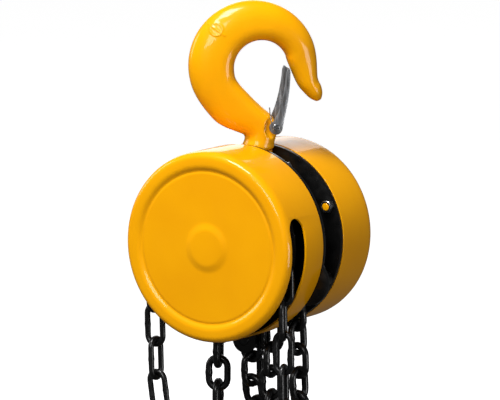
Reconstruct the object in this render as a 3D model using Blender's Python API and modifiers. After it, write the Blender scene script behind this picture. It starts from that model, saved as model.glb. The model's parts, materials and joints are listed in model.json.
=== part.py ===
"""Chain hoist: a hand-operated hoist that carries its load on two falls of chain.

Metres, +Z up. The origin is the bearing seat of the top hook, which the hoist hangs from.
The main shaft lies along Y, and the hand-wheel cover faces -Y. Along the shaft, positions
are Y values; across it, places are given from the shaft's centre and moved by `placed`.
"""

import math

import bmesh
import bpy
from mathutils import Matrix, Vector

# ---------------------------------------------------------------- driving dimensions
GAP = 0.0003
SHAFT_X = -0.0047
SHAFT_Z = -0.147

PLATE_IN = 0.012
PLATE_OUT = 0.016
WHEEL_PLATE_R = 0.0704
GEAR_PLATE_R = 0.0686
LOBE = (0.0565, -0.0272, 0.0174)

WHEEL_COVER_R = 0.071
GEAR_COVER_R = 0.069
COVER_WALL = 0.0015
COVER_FILLET = 0.007
FACE_DEPTH = 0.0014
WHEEL_COVER_FACE = -0.0656
GEAR_COVER_FACE = 0.0594
WHEEL_STUD_PLACES = ((0.0652, 58), (0.0652, 190), (0.0652, 345))
GEAR_STUD_PLACES = ((0.0636, 24), (0.0636, 156), (0.0636, 318))
STUD_RADIUS = 0.0028
STUD_TIP = 0.0074
NUT_FLATS = 0.0085
NUT_HIGH = 0.0038

SLOT_FRONT = -0.060
SLOT_BACK = -0.0405
SLOT_TOP_ANGLE = 21
SLOT_END_ANGLE = -78

LOAD_PITCH = 0.018
LOAD_TUBE = 0.008
SHEAVE_POCKETS = 5
IDLER_POCKETS = 4
SHEAVE_R = LOAD_PITCH / 2 / math.sin(math.pi / (2 * SHEAVE_POCKETS))
IDLER_R = LOAD_PITCH / 2 / math.sin(math.pi / (2 * IDLER_POCKETS))

HAND_PITCH = 0.025
HAND_TUBE = 0.007
WHEEL_POCKETS = 7
WHEEL_Y = -0.0502
WHEEL_R = HAND_PITCH / 2 / math.sin(math.pi / (2 * WHEEL_POCKETS))
HAND_LEAN = 0.003
HAND_LOW_Z = -0.163

MODULE = 0.0015
PINION_TEETH = 9
GEAR_TEETH = 36
GEAR_CENTRES = MODULE * (PINION_TEETH + GEAR_TEETH) / 2
DISC_GEAR_ANGLES = (25, 205)
POST_ANGLES = (112, 322)
POST_R = 0.046
PRESSURE_ANGLE = math.radians(25)
ADDENDUM = 0.75
DEDENDUM = 1.1
BACKLASH = 0.00018

RATCHET_TEETH = 12
RATCHET_R = 0.032
PAWL_ANGLES = (62, 242)
PAWL_R = 0.046
PAWL_LEAD = 30

DEAD_END = (SHEAVE_R * -1 + 2 * IDLER_R, -0.048)
SLACK_X = -0.0006
SLACK_PIN_Z = -0.0765
ANCHOR_BOLT_Z = -0.058
SLACK_RUN_X = 0.040
LOADED_Y = -0.002
BIGHT_Y = 0.015
BIGHT_Z = -0.151

IDLER_Z = -0.214
BLOCK_PIN_Z = IDLER_Z - 0.048
BLOCK_X = -SHEAVE_R + IDLER_R

HOOK_COLLAR_Z = -0.081
HOOK_PIN_Z = -0.0933
TOP_HOOK_YAW = math.radians(41)
BOTTOM_HOOK_SEAT = SHAFT_Z + BLOCK_PIN_Z + HOOK_PIN_Z

# Hook outline: an inner circle (the bowl) and an outer circle, both in the hook's own plane.
BOWL_CENTRE = (0.0016, -0.02015)
BOWL_R = 0.0204
BACK_CENTRE = (-0.0046, -0.018)
BACK_R = 0.048
LATCH_PIVOT = (0.0116, -0.0641)
LATCH_HALF_WIDTH = 0.010

YELLOW = ("yellow_paint", (0.93, 0.43, 0.01), 0.3, 0.0)
BLACK = ("black_steel", (0.02, 0.02, 0.022), 0.45, 0.6)
CHAIN = ("black_chain", (0.03, 0.03, 0.032), 0.4, 0.8)
STEEL = ("bright_steel", (0.55, 0.56, 0.58), 0.3, 1.0)
ZINC = ("zinc_plate", (0.42, 0.43, 0.44), 0.35, 1.0)
BRONZE = ("bronze", (0.55, 0.36, 0.16), 0.4, 1.0)
LINING = ("friction_lining", (0.16, 0.12, 0.09), 0.9, 0.0)


# ---------------------------------------------------------------- scene helpers
def clear_scene():
    for obj in list(bpy.data.objects):
        bpy.data.objects.remove(obj, do_unlink=True)


def new_collection(name):
    collection = bpy.data.collections.new(name)
    bpy.context.scene.collection.children.link(collection)
    return collection


def material(spec):
    name, colour, roughness, metallic = spec
    found = bpy.data.materials.get(name)
    if found:
        return found
    made = bpy.data.materials.new(name)
    made.use_nodes = True
    shader = made.node_tree.nodes["Principled BSDF"]
    shader.inputs["Base Color"].default_value = (*colour, 1)
    shader.inputs["Roughness"].default_value = roughness
    shader.inputs["Metallic"].default_value = metallic
    made.diffuse_color = (*colour, 1)
    return made


def pivot(name, place):
    """An empty on a joint's axis, for the pieces that turn about it."""
    empty = bpy.data.objects.new(name, None)
    empty.location = place
    empty.empty_display_size = 0.02
    PARTS.objects.link(empty)
    return empty


def keep(obj, spec=None, parent=None):
    """Puts a piece in the parts' collection with its material, under its joint's empty."""
    if spec:
        obj.data.materials.append(material(spec))
    PARTS.objects.link(obj)
    if parent:
        obj.parent = parent
        obj.matrix_parent_inverse = Matrix.Translation(parent.location).inverted()
    if obj.type == "MESH":
        obj.data.shade_smooth()
        obj.data.set_sharp_from_angle(angle=math.radians(35))
    return obj


def as_cutter(obj):
    obj.hide_render = True
    obj.display_type = "WIRE"
    CUTTERS.objects.link(obj)
    return obj


def boolean(obj, other, operation):
    modifier = obj.modifiers.new(operation.lower(), "BOOLEAN")
    modifier.operation = operation
    modifier.object = as_cutter(other)


def cut(obj, *others):
    for other in others:
        boolean(obj, other, "DIFFERENCE")


def join(obj, *others):
    for other in others:
        boolean(obj, other, "UNION")


def placed(x, z, y=0.0):
    """World point from a place measured from the main shaft's centre."""
    return Vector((SHAFT_X + x, y, SHAFT_Z + z))


def polar(radius, degrees):
    angle = math.radians(degrees)
    return radius * math.cos(angle), radius * math.sin(angle)


def arc(centre, radius, start, end, steps):
    """Points along a circle, in degrees, both ends included."""
    turned_by = [start + (end - start) * i / steps for i in range(steps + 1)]
    points = [polar(radius, degrees) for degrees in turned_by]
    return [(centre[0] + x, centre[1] + z) for x, z in points]


# ---------------------------------------------------------------- shape helpers
def object_from(name, build):
    """A mesh object from build(bm)."""
    bm = bmesh.new()
    build(bm)
    mesh = bpy.data.meshes.new(name)
    bm.to_mesh(mesh)
    bm.free()
    return bpy.data.objects.new(name, mesh)


def box(name, low, high):
    """A box between two world corners."""
    size = Vector(high) - Vector(low)
    centre = (Vector(high) + Vector(low)) / 2
    frame = Matrix.Translation(centre) @ Matrix.Diagonal((*size, 1))
    return object_from(name, lambda bm: bmesh.ops.create_cube(bm, size=1, matrix=frame))


def rod(name, centre, radius, y0, y1, sides=24):
    """A cylinder along Y through a world point, or through (x, z)."""
    middle = Vector((centre[0], (y0 + y1) / 2, centre[-1]))
    frame = Matrix.Translation(middle) @ Matrix.Rotation(math.radians(-90), 4, "X")

    def build(bm):
        bmesh.ops.create_cone(
            bm,
            cap_ends=True,
            segments=sides,
            radius1=radius,
            radius2=radius,
            depth=y1 - y0,
            matrix=frame,
        )

    return object_from(name, build)


def turned(name, profile, steps=48, centre=None, upright=False):
    """A Screw of (radius, along) points, closed on itself: about Y, or about Z if upright."""
    mesh = bpy.data.meshes.new(name)
    points = [(radius, 0, along) for radius, along in profile]
    on_axis = profile[0][0] == 0 and profile[-1][0] == 0
    count = len(points)
    edges = [(i, (i + 1) % count) for i in range(count - (1 if on_axis else 0))]
    mesh.from_pydata(points, edges, [])
    obj = bpy.data.objects.new(name, mesh)
    screw = obj.modifiers.new("turn", "SCREW")
    screw.steps = steps
    screw.render_steps = steps
    screw.use_merge_vertices = True
    screw.merge_threshold = 0.00001
    screw.use_smooth_shade = True
    obj.location = centre or placed(0, 0)
    if not upright:
        obj.rotation_euler = (math.radians(-90), 0, 0)
    return obj


def ring(name, inner, outer, y0, y1, steps=28, centre=None):
    profile = [(outer, y1), (outer, y0), (inner, y0), (inner, y1)]
    return turned(name, profile, steps, centre)


def sheet(name, outlines, y0, y1, centre=None):
    """A flat plate: closed (x, z) outlines, the first outside and the rest holes."""
    curve = bpy.data.curves.new(name, "CURVE")
    curve.dimensions = "2D"
    curve.fill_mode = "BOTH"
    curve.extrude = (y1 - y0) / 2
    for outline in outlines:
        spline = curve.splines.new("POLY")
        spline.points.add(len(outline) - 1)
        for point, (x, z) in zip(spline.points, outline):
            point.co = (x, z, 0, 1)
        spline.use_cyclic_u = True
    guide = bpy.data.objects.new(name + "_curve", curve)
    bpy.context.scene.collection.objects.link(guide)
    place = centre if centre is not None else placed(0, 0)
    guide.location = (place[0], (y0 + y1) / 2, place[2])
    guide.rotation_euler = (math.radians(90), 0, 0)
    return mesh_of(name, guide)


def mesh_of(name, guide):
    """A welded mesh object in place of a curve object."""
    bpy.context.view_layer.update()
    evaluated = guide.evaluated_get(bpy.context.evaluated_depsgraph_get())
    mesh = bpy.data.meshes.new_from_object(evaluated)
    mesh.name = name
    bm = bmesh.new()
    bm.from_mesh(mesh)
    bmesh.ops.remove_doubles(bm, verts=bm.verts, dist=0.000002)
    bmesh.ops.recalc_face_normals(bm, faces=bm.faces)
    bm.to_mesh(mesh)
    bm.free()
    obj = bpy.data.objects.new(name, mesh)
    obj.matrix_world = guide.matrix_world.copy()
    bpy.data.objects.remove(guide, do_unlink=True)
    return obj


def circle(radius, sides=24, centre=(0, 0)):
    return arc(centre, radius, 0, 360 - 360 / sides, sides - 1)


def tube(name, points, radius, cyclic=False, resolution=2):
    """A round wire through world points, as a curve object with closed ends."""
    curve = bpy.data.curves.new(name, "CURVE")
    curve.dimensions = "3D"
    curve.bevel_depth = radius
    curve.bevel_resolution = resolution
    curve.use_fill_caps = not cyclic
    spline = curve.splines.new("POLY")
    spline.points.add(len(points) - 1)
    for place, point in zip(points, spline.points):
        point.co = (*place, 1)
    spline.use_cyclic_u = cyclic
    return bpy.data.objects.new(name, curve)


def loft(name, rings):
    """A closed skin over rings of equal count, capped at both ends."""

    def build(bm):
        rows = [[bm.verts.new(point) for point in points] for points in rings]
        count = len(rings[0])
        for row, following in zip(rows, rows[1:]):
            for i in range(count):
                j = (i + 1) % count
                bm.faces.new((row[i], row[j], following[j], following[i]))
        bm.faces.new(rows[0][::-1])
        bm.faces.new(rows[-1])
        bmesh.ops.recalc_face_normals(bm, faces=bm.faces)

    return object_from(name, build)


def hexagon(flats):
    return circle(flats / math.sqrt(3), 6)


def nut(name, centre, y0, y1, flats, bore):
    """A hexagon nut along Y at a world centre."""
    outlines = [hexagon(flats), circle(bore, 10)]
    return sheet(name, outlines, y0, y1, Vector((centre[0], 0, centre[2])))


# ---------------------------------------------------------------- gears
def involute(base, radius):
    """Angle that an involute from `base` has turned through at `radius`."""
    if radius <= base:
        return 0.0
    tangent = math.sqrt((radius / base) ** 2 - 1)
    return tangent - math.atan(tangent)


def gear_outline(teeth, phase):
    """Outline of a stub-tooth gear whose tooth points along `phase` degrees."""
    pitch = MODULE * teeth / 2
    base = pitch * math.cos(PRESSURE_ANGLE)
    tip = pitch + ADDENDUM * MODULE
    root = pitch - DEDENDUM * MODULE
    half_at_pitch = math.pi / teeth / 2 - BACKLASH / 2 / pitch
    radii = [root, base, pitch, tip] if base > root else [root, tip]

    def half_angle(radius):
        return half_at_pitch + involute(base, pitch) - involute(base, radius)

    outline = []
    for tooth in range(teeth):
        middle = math.radians(phase) + 2 * math.pi * tooth / teeth
        for radius in radii:
            angle = middle - half_angle(radius)
            outline.append((radius * math.cos(angle), radius * math.sin(angle)))
        for radius in reversed(radii):
            angle = middle + half_angle(radius)
            outline.append((radius * math.cos(angle), radius * math.sin(angle)))
    return outline


# ---------------------------------------------------------------- frame
def lobed_outline(radius):
    """A round edge with the lobe at its lower right."""
    lobe_x, lobe_z, lobe_r = LOBE
    reach = math.hypot(lobe_x, lobe_z)
    direction = math.degrees(math.atan2(lobe_z, lobe_x))
    along = (reach**2 + radius**2 - lobe_r**2) / (2 * reach)
    spread = math.degrees(math.acos(along / radius))
    crossing = math.degrees(math.acos((reach - along) / -lobe_r))
    round_edge = arc((0, 0), radius, direction + spread, direction + 360 - spread, 34)
    lobe_edge = arc((lobe_x, lobe_z), lobe_r, direction - crossing, direction + crossing, 10)
    return round_edge + lobe_edge[1:-1]


def bolt_holes():
    return {
        "stay_bolt_left": (-0.0585, 0.004),
        "stay_bolt_right": (0.057, -0.028),
        "stay_bolt_top": polar(0.0585, 122),
        "stay_bolt_bottom": (SLACK_X, ANCHOR_BOLT_Z),
    }


def side_plate(name, y0, y1, gear_side):
    holes = [circle(0.0225, 28), circle(0.0073, 20, (-SHAFT_X, HOOK_PIN_Z - SHAFT_Z))]
    holes += [circle(0.0033, 10, place) for place in bolt_holes().values()]
    holes.append(circle(0.0043, 16, DEAD_END))
    studs = GEAR_STUD_PLACES if gear_side else WHEEL_STUD_PLACES
    holes += [circle(0.0033, 10, polar(*place)) for place in studs]
    if gear_side:
        outline = circle(GEAR_PLATE_R, 48)
        holes += [circle(0.0054, 16, polar(GEAR_CENTRES, a)) for a in DISC_GEAR_ANGLES]
        holes += [circle(0.0033, 10, polar(POST_R, a)) for a in POST_ANGLES]
    else:
        outline = lobed_outline(WHEEL_PLATE_R)
        holes += [circle(0.0043, 16, polar(PAWL_R, a)) for a in PAWL_ANGLES]
    keep(sheet(name, [outline] + holes, y0, y1), BLACK)


def stay_bolts():
    """Shouldered bolts that hold the side plates apart."""
    for name, (x, z) in bolt_holes().items():
        body = rod(name, placed(x, z), 0.0055, GAP - PLATE_IN, PLATE_IN - GAP, 14)
        through = rod(name + "_end", placed(x, z), 0.003, -0.0163, 0.0163, 10)
        join(body, through)
        keep(body, BLACK)


def cover_profile(outer, rim, face, towards):
    """Half section of a deep-drawn cover; towards is +1 where the rim is at higher Y."""
    wall, fillet = COVER_WALL, COVER_FILLET
    skin = [(outer, rim)]
    for x, along in arc((outer - fillet, fillet), fillet, 0, -90, 4):
        skin.append((x, face + towards * along))
    disc = ((0.0615, 0.0), (0.0570, 0.0019), (0.0550, FACE_DEPTH))
    boss = ((0.018, FACE_DEPTH), (0.0125, 0.0), (0, 0.0))
    skin += [(radius, face + towards * depth) for radius, depth in disc + boss]
    lining_at = face + towards * (wall + 0.0014)
    lining = [(0, lining_at), (outer - fillet, lining_at)]
    for x, along in arc((outer - fillet, fillet + 0.0014), fillet - wall, -90, 0, 2)[1:]:
        lining.append((x, face + towards * along))
    lining.append((outer - wall, rim))
    profile = skin + lining
    if towards < 0:
        profile.reverse()
    return profile


def cover_studs(cover, places, rim, towards, tip):
    """Lugs inside the rim, each with a stud that passes through the side plate."""
    for place in places:
        x, z = polar(*place)
        low_y, high_y = sorted((rim + towards * GAP, rim + towards * 0.004))
        lug = rod("lug", placed(x, z), 0.0053, low_y, high_y, 14)
        stud_low, stud_high = sorted((rim + towards * 0.003, tip))
        stud = rod("stud", placed(x, z), STUD_RADIUS, stud_low, stud_high, 10)
        join(cover, lug, stud)


def slot_cutters():
    """Two chain slots in the hand-wheel cover's barrel, each with a round upper end."""
    half = (SLOT_BACK - SLOT_FRONT) / 2
    middle = (SLOT_BACK + SLOT_FRONT) / 2
    end_round = math.degrees(half / WHEEL_COVER_R)
    for mirror in (False, True):
        start, end = SLOT_TOP_ANGLE - end_round, SLOT_END_ANGLE
        wide = [start + (end - start) * i / 12 for i in range(13)]
        if mirror:
            wide = [180 - degrees for degrees in wide]
            start = 180 - start
        outline = [polar(0.075, a) for a in wide] + [polar(0.062, a) for a in reversed(wide)]
        yield sheet("slot", [outline], SLOT_FRONT, SLOT_BACK)
        round_end = rod("slot_end", (0, 0), half, -0.0065, 0.0065, 24)
        x, z = polar(0.0685, start)
        turn = Matrix.Rotation(math.radians(90 - start), 4, "Y") @ Matrix.Rotation(math.pi / 2, 4, "X")
        round_end.matrix_world = Matrix.Translation(placed(x, z, middle)) @ turn
        yield round_end


def covers():
    rim = PLATE_OUT + GAP
    skin = cover_profile(WHEEL_COVER_R, -rim, WHEEL_COVER_FACE, 1)
    front = turned("hand_wheel_cover", skin, 36)
    cut(front, *slot_cutters())
    cover_studs(front, WHEEL_STUD_PLACES, -rim, -1, -STUD_TIP)
    keep(front, YELLOW)
    back = turned("gear_cover", cover_profile(GEAR_COVER_R, rim, GEAR_COVER_FACE, -1), 36)
    cover_studs(back, GEAR_STUD_PLACES, rim, 1, STUD_TIP)
    keep(back, YELLOW)
    near, far = PLATE_IN - GAP - NUT_HIGH, PLATE_IN - GAP
    for number, place in enumerate(GEAR_STUD_PLACES, 1):
        centre = placed(*polar(*place))
        keep(nut(f"gear_cover_nut_{number}", centre, near, far, NUT_FLATS, 0.0031), ZINC)
    for number, place in enumerate(WHEEL_STUD_PLACES, 1):
        centre = placed(*polar(*place))
        keep(nut(f"wheel_cover_nut_{number}", centre, -far, -near, NUT_FLATS, 0.0031), ZINC)


def chain_path_fittings():
    """What guides and anchors the load chain between the side plates."""
    outline = arc((0, 0), 0.0374, -118, -76, 10) + arc((0, 0), 0.0425, -76, -118, 10)
    keep(sheet("chain_stripper", [outline], -0.0112, 0.0112), BLACK)
    dead_end = rod("dead_end_pin", placed(*DEAD_END), 0.004, -0.0163, 0.0185, 20)
    keep(dead_end, BLACK)
    drop = SLACK_PIN_Z - ANCHOR_BOLT_Z
    outer = arc((0, 0), 0.0085, 20, 160, 8) + arc((0, drop), 0.0098, 190, 350, 12)
    outlines = [outer, circle(0.0058, 20), circle(0.0043, 16, (0, drop))]
    for name, y0, y1 in (("front", -0.0114, -0.0084), ("rear", 0.0084, 0.0114)):
        centre = placed(SLACK_X, ANCHOR_BOLT_Z)
        keep(sheet(f"anchor_plate_{name}", outlines, y0, y1, centre), BLACK)
    pin = rod("slack_end_pin", placed(SLACK_X, SLACK_PIN_Z), 0.004, -0.0117, 0.0117, 16)
    keep(pin, BLACK)


def support():
    """The plate behind the gears that carries the outer ends of their shafts."""
    outline = []
    for angle, post_angle in zip(DISC_GEAR_ANGLES, POST_ANGLES):
        outline += arc(polar(GEAR_CENTRES, angle), 0.010, angle - 60, angle + 60, 10)
        outline += arc(polar(POST_R, post_angle), 0.008, post_angle - 50, post_angle + 50, 8)
    holes = [circle(0.0048, 20)]
    holes += [circle(0.0048, 20, polar(GEAR_CENTRES, a)) for a in DISC_GEAR_ANGLES]
    holes += [circle(0.0033, 10, polar(POST_R, a)) for a in POST_ANGLES]
    keep(sheet("gear_support_plate", [outline] + holes, 0.0410, 0.0440), BLACK)
    for name, angle in zip(("a", "b"), POST_ANGLES):
        centre = placed(*polar(POST_R, angle))
        post = rod(f"support_post_{name}", centre, 0.0055, PLATE_OUT + GAP, 0.0407, 14)
        join(post, rod("post_end", centre, 0.003, PLATE_IN + GAP, 0.0470, 10))
        keep(post, STEEL)


# ---------------------------------------------------------------- lifting wheels and gears
def chain_wheel(name, chain_r, flange_r, half_width, hub_low, hub_high, bore, parent):
    """A grooved wheel for the load chain. Each side of the hub is a list of (radius, y)."""
    cheek = LOAD_TUBE + 0.0008
    dip = arc((chain_r, 0), cheek, 90, 270, 6)
    above = [(flange_r, half_width), (flange_r, cheek)]
    below = [(flange_r, -cheek), (flange_r, -half_width)]
    profile = hub_high + above + dip + below + hub_low
    profile = [(bore, hub_high[0][1])] + profile + [(bore, hub_low[-1][1])]
    keep(turned(name, profile, 28, parent.location), STEEL, parent)


def lifting_wheels():
    shaft = pivot("load_sheave_axis", placed(0, 0))
    for name, y0, y1 in (("front", -0.0158, -0.0122), ("rear", 0.0122, 0.0158)):
        keep(ring(f"sheave_bearing_{name}", 0.0163, 0.0222, y0, y1), STEEL)
    sleeve = [(0.0125, 0.0300), (0.0125, 0.0165), (0.016, 0.0165), (0.016, 0.0112)]
    hub = [(0.016, -0.0112), (0.016, -0.0160)]
    chain_wheel("load_sheave", SHEAVE_R, 0.036, 0.0112, hub, sleeve, 0.0085, shaft)
    outlines = [gear_outline(GEAR_TEETH, DISC_GEAR_ANGLES[0]), circle(0.0128, 32)]
    keep(sheet("load_gear", outlines, 0.0175, 0.0275), STEEL, shaft)

    idler = pivot("idler_axis", placed(BLOCK_X, IDLER_Z, LOADED_Y))
    high_side = [(0.013, 0.0115), (0.013, 0.0108)]
    low_side = [(0.013, -0.0108), (0.013, -0.0115)]
    chain_wheel("idler_sheave", IDLER_R, 0.030, 0.0108, low_side, high_side, 0.0083, idler)


def gear_train():
    for name, angle, tooth_to_shaft in zip(("a", "b"), DISC_GEAR_ANGLES, (False, True)):
        x, z = polar(GEAR_CENTRES, angle)
        centre = placed(x, z)
        axis = pivot(f"disc_gear_{name}_axis", centre)
        towards_shaft = angle + 180
        phase = towards_shaft if tooth_to_shaft else towards_shaft + 180 / GEAR_TEETH
        wheel = sheet(f"disc_gear_{name}", [gear_outline(GEAR_TEETH, phase)], 0.0305, 0.0365, centre)
        space = towards_shaft + 180 / PINION_TEETH
        pinion = sheet("pinion", [gear_outline(PINION_TEETH, space)], 0.0172, 0.0310, centre)
        journal = rod("journal", centre, 0.0045, 0.0130, 0.0455, 16)
        join(wheel, pinion, journal)
        keep(wheel, STEEL, axis)


def drive_line():
    """Shaft with its pinion, brake, ratchet and hand wheel, from the gear side to the cover."""
    axis = pivot("drive_axis", placed(0, 0))
    profile = [(0, 0.0460), (0.0045, 0.0460), (0.0045, 0.0300), (0.0075, 0.0298)]
    profile += [(0.0075, -0.0300), (0.0068, -0.0305), (0.0068, -0.0560), (0.0055, -0.0563)]
    profile += [(0.0055, -0.0612), (0, -0.0612)]
    shaft = turned("drive_shaft", profile, 24)
    pinion = sheet("pinion", [gear_outline(PINION_TEETH, DISC_GEAR_ANGLES[0])], 0.0295, 0.0375)
    join(shaft, pinion)
    keep(shaft, STEEL, axis)
    hub = [(0.0078, -0.0168), (0.024, -0.0168), (0.024, -0.0205), (0.011, -0.0205)]
    hub += [(0.011, -0.0300), (0.0078, -0.0300)]
    keep(turned("brake_hub", hub, 28), STEEL, axis)
    keep(ring("friction_disc_inner", 0.0114, 0.024, -0.0233, -0.0208), LINING, axis)
    keep(ring("friction_disc_outer", 0.0114, 0.024, -0.0309, -0.0284), LINING, axis)
    ratchet_outline = []
    for tooth in range(RATCHET_TEETH):
        start = 360 * tooth / RATCHET_TEETH
        ratchet_outline += [polar(RATCHET_R - 0.0045, start), polar(RATCHET_R, start + 22)]
        ratchet_outline.append(polar(RATCHET_R, start + 26))
    outlines = [ratchet_outline, circle(0.0114, 32)]
    keep(sheet("ratchet_disc", outlines, -0.0281, -0.0236), STEEL, pivot("ratchet_axis", placed(0, 0)))
    hand_wheel(axis)
    keep(nut("shaft_nut", placed(0, 0), -0.0606, -0.0570, 0.018, 0.0058), ZINC, axis)


def hand_wheel(axis):
    groove = arc((WHEEL_R, WHEEL_Y), HAND_TUBE + 0.0008, 90, 270, 6)
    back, front = WHEEL_Y + 0.0108, WHEEL_Y - 0.0100
    web_back, web_front = -0.0450, -0.0500
    profile = [(0.0072, -0.0312), (0.024, -0.0312), (0.024, -0.0342), (0.016, -0.0360)]
    profile += [(0.016, web_back), (0.043, web_back), (0.045, back), (0.0615, back)]
    profile += groove
    profile += [(0.0615, front), (0.045, front), (0.043, web_front), (0.015, web_front)]
    profile += [(0.015, -0.0565), (0.0072, -0.0565)]
    keep(turned("hand_wheel", profile, 36), STEEL, axis)


def pawls():
    """Two pawls that drop into the ratchet from opposite sides, each with a wire spring."""
    for name, angle in zip(("a", "b"), PAWL_ANGLES):
        x, z = polar(PAWL_R, angle)
        centre = placed(x, z)
        axis = pivot(f"pawl_{name}_axis", centre)
        tip = polar(RATCHET_R - 0.0015, angle - PAWL_LEAD)
        reach = Vector((tip[0] - x, tip[1] - z))
        across = Vector((-reach.y, reach.x)).normalized() * 0.0012
        lean = math.degrees(math.atan2(reach.y, reach.x))
        outline = arc((0, 0), 0.0065, lean + 75, lean + 285, 12)
        outline += [tuple(reach - across), tuple(reach + across)]
        outlines = [outline, circle(0.0044, 16)]
        keep(sheet(f"pawl_{name}", outlines, -0.0280, -0.0237, centre), STEEL, axis)
        pin = rod(f"pawl_pin_{name}", centre, 0.004, -0.0320, -PLATE_IN - GAP, 14)
        join(pin, rod("collar", centre, 0.006, -0.0232, -PLATE_OUT - GAP, 14))
        keep(pin, STEEL)
        coil = ring(f"pawl_spring_{name}", 0.0044, 0.0060, -0.0315, -0.0284, 12, centre)
        keep(coil, ZINC)


# ---------------------------------------------------------------- hooks
def bowl_station(theta):
    """Middle, half width and half thickness of the hook's section at an angle round the bowl."""
    dx, dz = polar(1, theta)
    off_x, off_z = BOWL_CENTRE[0] - BACK_CENTRE[0], BOWL_CENTRE[1] - BACK_CENTRE[1]
    along = off_x * dx + off_z * dz
    reach = -along + math.sqrt(along**2 - off_x**2 - off_z**2 + BACK_R**2)
    middle = (reach + BOWL_R) / 2
    thick = 0.0088 + 0.0034 * math.sin(math.radians(min(theta, 90)))
    place = (BOWL_CENTRE[0] + middle * dx, BOWL_CENTRE[1] + middle * dz)
    return (*place, (reach - BOWL_R) / 2, thick, theta + 180)


def hook_stations():
    """(x, z, half width, half thickness, direction to the inside in degrees) from tip to shank."""
    nose = [
        (0.0452, -0.0454, 0.0020, 0.0024, 205),
        (0.0433, -0.0420, 0.0050, 0.0058, 204),
        (0.0404, -0.0370, 0.0069, 0.0074, 202),
        (0.0364, -0.0305, 0.0081, 0.0083, 195),
    ]
    bowl = [bowl_station(9 + 18 * i) for i in range(12)]
    shank = [
        (-0.0205, -0.0492, 0.0163, 0.0121, 391),
        (-0.0126, -0.0561, 0.0160, 0.0120, 387),
        (-0.0037, -0.0618, 0.0146, 0.0118, 383),
        (0.0008, -0.0673, 0.0132, 0.0116, 373),
        (0.0009, -0.0730, 0.0123, 0.0114, 363),
        (0.0000, -0.0775, 0.0115, 0.0115, 360),
        (0.0000, HOOK_COLLAR_Z, 0.0115, 0.0115, 360),
    ]
    stem = [
        (0.0000, HOOK_COLLAR_Z - 0.0002, 0.0068, 0.0068, 360),
        (0.0000, -0.1068, 0.0068, 0.0068, 360),
    ]
    return nose + bowl + shank + stem


def hook_ring(station, sides=16):
    """One section: a soft oval with its widest flats exactly at the inside and the outside."""
    x, z, half, thick, direction = station
    inward = polar(1, direction)
    belly = 0.0 if half == thick else 0.10
    widest = math.cos(math.pi / sides)
    points = []
    for i in range(sides):
        angle = 2 * math.pi * (i + 0.5) / sides
        across = half * math.cos(angle) / widest
        up = thick * math.sin(angle) * (1 + belly * math.cos(angle))
        points.append((x + across * inward[0], -up, z + across * inward[1]))
    return points


def latch(name):
    """Pressed channel: web towards the throat, two flanges that straddle the hook."""
    px, pz = LATCH_PIVOT
    back = [(0.0159, pz), (0.0168, -0.0580), (0.0185, -0.0500), (0.0199, -0.0430)]
    back += [(0.0208, -0.0350), (0.0214, -0.0280), (0.0217, -0.0205)]
    front = [(0.0200, -0.0200), (0.0184, -0.0310), (0.0166, -0.0390), (0.0148, -0.0460)]
    front += [(0.0120, -0.0530), (0.0092, -0.0590)]
    ear = arc((px, pz), 0.0047, 135, 335, 10)
    outline = back + front + ear
    wall = 0.0014
    inside = [(0.0300, -0.0720), (0.0300, -0.0595), (0.0152, -0.0595)]
    inside += [(x - wall, z) for x, z in back[1:-1]] + [(0.0205, -0.0150)]
    inside += [(0.0050, -0.0150), (0.0000, -0.0550), (0.0000, -0.0720)]
    origin = Vector((0, 0, 0))
    half = LATCH_HALF_WIDTH
    body = sheet(name, [outline, circle(0.0023, 14, LATCH_PIVOT)], -half, half, origin)
    cut(body, sheet(name + "_hollow", [inside], -half + wall, half - wall, origin))
    return body


def latch_spring(name):
    """Two turns of wire about the latch pin, with one leg that rests on the hook."""
    px, pz = LATCH_PIVOT
    wire, radius, turns, steps = 0.0005, 0.0034, 1.5, 10
    points = []
    for i in range(int(turns * steps) + 1):
        angle = math.radians(150 - 360 * i / steps)
        y = -0.0079 + 0.0011 * i / steps
        points.append(Vector((px + radius * math.cos(angle), y, pz + radius * math.sin(angle))))
    leg = [Vector((0.0080, -0.0081, -0.0590)), Vector((0.0068, -0.0081, -0.0490))]
    return tube(name, leg[::-1] + points, wire, resolution=1)


def in_place(frame, *objects):
    for obj in objects:
        obj.matrix_basis = frame @ obj.matrix_basis


def hook_set(prefix, frame, hook_parent, latch_parent):
    """A hook with its latch, pin, spring and nut; frame takes the hook's own axes to the world."""
    half = LATCH_HALF_WIDTH
    body = loft(f"{prefix}_hook", [hook_ring(station) for station in hook_stations()])
    pin_hole = rod("pin_hole", LATCH_PIVOT, 0.0023, -0.02, 0.02, 16)
    flats = [
        rod("flat", LATCH_PIVOT, 0.0066, side * 0.0139 - 0.0060, side * 0.0139 + 0.0060, 28)
        for side in (-1, 1)
    ]
    boss = rod("boss", (0.0122, -0.0650), 0.0048, -0.0079, 0.0079, 20)
    spring_seat = rod("spring_seat", LATCH_PIVOT, 0.0070, -0.0200, -0.0052, 20)
    pin = rod(f"{prefix}_latch_pin", LATCH_PIVOT, 0.0020, -half - 0.0010, half + 0.0010, 16)
    plate = latch(f"{prefix}_latch")
    spring = latch_spring(f"{prefix}_latch_spring")
    nut_profile = [(0.0073, -0.1006), (0.0105, -0.1006), (0.0105, -0.1058), (0.0073, -0.1058)]
    ring_nut = turned(f"{prefix}_hook_nut", nut_profile, 24, Vector((0, 0, 0)), upright=True)
    in_place(frame, body, boss, pin_hole, spring_seat, pin, plate, spring, ring_nut, *flats)
    for modifier in plate.modifiers:
        modifier.object.matrix_basis = frame @ modifier.object.matrix_basis
    join(body, boss)
    cut(body, pin_hole, spring_seat, *flats)
    keep(body, YELLOW, hook_parent)
    keep(pin, ZINC, hook_parent)
    keep(spring, ZINC, hook_parent)
    keep(ring_nut, STEEL, hook_parent)
    keep(plate, ZINC, latch_parent)


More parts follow.
